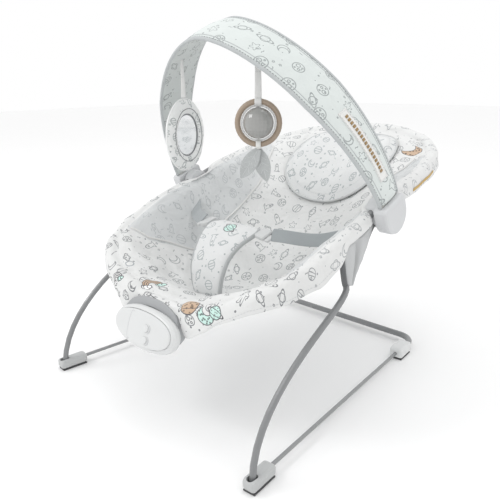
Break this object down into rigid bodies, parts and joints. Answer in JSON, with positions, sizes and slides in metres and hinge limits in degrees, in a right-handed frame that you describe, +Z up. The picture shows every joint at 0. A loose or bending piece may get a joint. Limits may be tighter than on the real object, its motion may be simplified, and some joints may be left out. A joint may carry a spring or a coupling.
{
  "type": "baby bouncer seat",
  "caption": "Infant bouncer seat: fabric sling on a sprung wire frame, soothing unit at the feet and a tilting toy bar with hanging toys.",
  "frame": {"origin": "on the floor, under the middle of the object's bounding box", "axes": "+Z up, -Y towards the child's feet and the soothing unit, +Y towards the head, +X towards the child's left"},
  "size_m": [0.4918, 0.6494, 0.5985],
  "materials": {
    "frame_tube": "satin grey powder coat",
    "floor_wire": "satin light grey powder coat",
    "foot_plastic": "moulded light grey",
    "bracket_plastic": "moulded white",
    "foot_rubber": "soft matt grey",
    "hub_plastic": "moulded light grey, fine satin",
    "steel": "plated steel",
    "seat_fabric": "printed woven polyester over thin padding",
    "gusset_fabric": "plain light grey woven polyester",
    "pad_fabric": "printed soft jersey over filling",
    "webbing": "grey webbing",
    "buckle_plastic": "moulded light grey",
    "unit_white": "moulded white, satin gloss",
    "unit_grey": "moulded light grey",
    "circuit_board": "green solder mask",
    "battery_sleeve": "plain dark sleeve",
    "speaker_black": "black",
    "bar_fabric": "printed padded cotton with grey binding",
    "core_plastic": "flexible natural plastic strip",
    "ring_tan": "moulded tan",
    "ball_grey": "moulded glossy grey",
    "clear_white": "translucent white",
    "leaf_fabric": "grey felt-like fabric with a stitched edge",
    "mirror": "flexible mirror film on plastic"
  },
  "bodies": {
    "floor_frame": {"rear_tube": "frame_tube", "floor_rod_left": "floor_wire", "floor_rod_right": "floor_wire", "front_shoe_left": "foot_plastic", "front_shoe_right": "foot_plastic", "front_pad_left": "foot_rubber", "front_pad_right": "foot_rubber", "rear_bracket_left": "bracket_plastic", "rear_bracket_right": "bracket_plastic", "rear_pad_left": "foot_rubber", "rear_pad_right": "foot_rubber"},
    "seat": {"leg_left": "frame_tube", "leg_right": "frame_tube", "side_hub_left": "hub_plastic", "side_hub_right": "hub_plastic", "hub_screw_left": "steel", "hub_screw_right": "steel", "seat_front_tube": "frame_tube", "seat_back_tube": "frame_tube", "seat_sling": "seat_fabric", "gusset_left": "gusset_fabric", "gusset_right": "gusset_fabric", "head_pillow": "pad_fabric", "crotch_pad": "pad_fabric", "buckle_socket_left": "buckle_plastic", "buckle_socket_right": "buckle_plastic", "buckle_tongue_left": "buckle_plastic", "buckle_tongue_right": "buckle_plastic", "waist_strap_left": "webbing", "waist_strap_right": "webbing", "unit_front_shell": "unit_white", "unit_faceplate": "unit_white", "unit_rear_shell": "unit_grey", "circuit_board": "circuit_board", "speaker": "speaker_black", "battery_1": "battery_sleeve", "battery_2": "battery_sleeve", "vibration_motor": "steel"},
    "toy_bar": {"toy_bar_cover": "bar_fabric", "toy_bar_core": "core_plastic", "bar_cap_left": "hub_plastic", "bar_cap_right": "hub_plastic"},
    "upper_button": {"button_upper": "unit_white"},
    "lower_button": {"button_lower": "unit_white"},
    "battery_door": {"battery_door": "unit_grey", "battery_door_screw": "steel"},
    "motor_weight": {"eccentric_weight": "steel"},
    "ring_strap": {"ring_strap": "pad_fabric"},
    "ring_toy": {"toy_ring": "ring_tan", "inner_ring": "clear_white", "ball_axle": "steel", "leaf_front": "leaf_fabric", "leaf_back": "leaf_fabric"},
    "ball": {"ball": "ball_grey"},
    "mirror_strap": {"mirror_strap": "pad_fabric"},
    "mirror_toy": {"mirror_frame": "pad_fabric", "mirror_glass": "mirror"}
  },
  "joints": [
    {"name": "bounce", "type": "hinge", "parent": "floor_frame", "child": "seat", "pos_m": [0, -0.3142, 0.012], "axis": [1, 0, 0], "range_deg": [-7, 2], "stiffness_Nm_per_rad": 200, "springref_deg": 3.02},
    {"name": "toy_bar_tilt", "type": "hinge", "parent": "seat", "child": "toy_bar", "pos_m": [0, 0.0018, 0.306], "axis": [1, 0, 0], "range_deg": [-62, 15]},
    {"name": "upper_button_press", "type": "slide", "parent": "seat", "child": "upper_button", "axis": [0, 0.9397, -0.342], "range_m": [0, 0.0015], "stiffness_N_per_m": 400, "springref_m": -0.0002},
    {"name": "lower_button_press", "type": "slide", "parent": "seat", "child": "lower_button", "axis": [0, 0.9397, -0.342], "range_m": [0, 0.0015], "stiffness_N_per_m": 400, "springref_m": -0.0002},
    {"name": "battery_door_lift", "type": "slide", "parent": "seat", "child": "battery_door", "axis": [0, 0.9397, -0.342], "range_m": [0, 0.03]},
    {"name": "motor_spin", "type": "hinge", "parent": "seat", "child": "motor_weight", "pos_m": [0.03, -0.2752, 0.1476], "axis": [1, 0, 0], "continuous": true},
    {"name": "ring_toy_swing", "type": "hinge", "parent": "toy_bar", "child": "ring_strap", "pos_m": [0.073, -0.1203, 0.5465], "axis": [0.788, 0.6157, 0], "range_deg": [-30, 30]},
    {"name": "ring_toy_sway", "type": "hinge", "parent": "ring_strap", "child": "ring_toy", "pos_m": [0.073, -0.1203, 0.4782], "axis": [0.6157, -0.788, 0], "range_deg": [-12, 12]},
    {"name": "ball_spin", "type": "hinge", "parent": "ring_toy", "child": "ball", "pos_m": [0.073, -0.1203, 0.443], "axis": [0, 0, 1], "continuous": true},
    {"name": "mirror_toy_swing", "type": "hinge", "parent": "toy_bar", "child": "mirror_strap", "pos_m": [-0.0778, -0.1352, 0.5363], "axis": [0.788, 0.6157, 0], "range_deg": [-30, 30]},
    {"name": "mirror_toy_sway", "type": "hinge", "parent": "mirror_strap", "child": "mirror_toy", "pos_m": [-0.0778, -0.1352, 0.4772], "axis": [0.9455, 0.3256, 0], "range_deg": [-12, 12]}
  ]
}
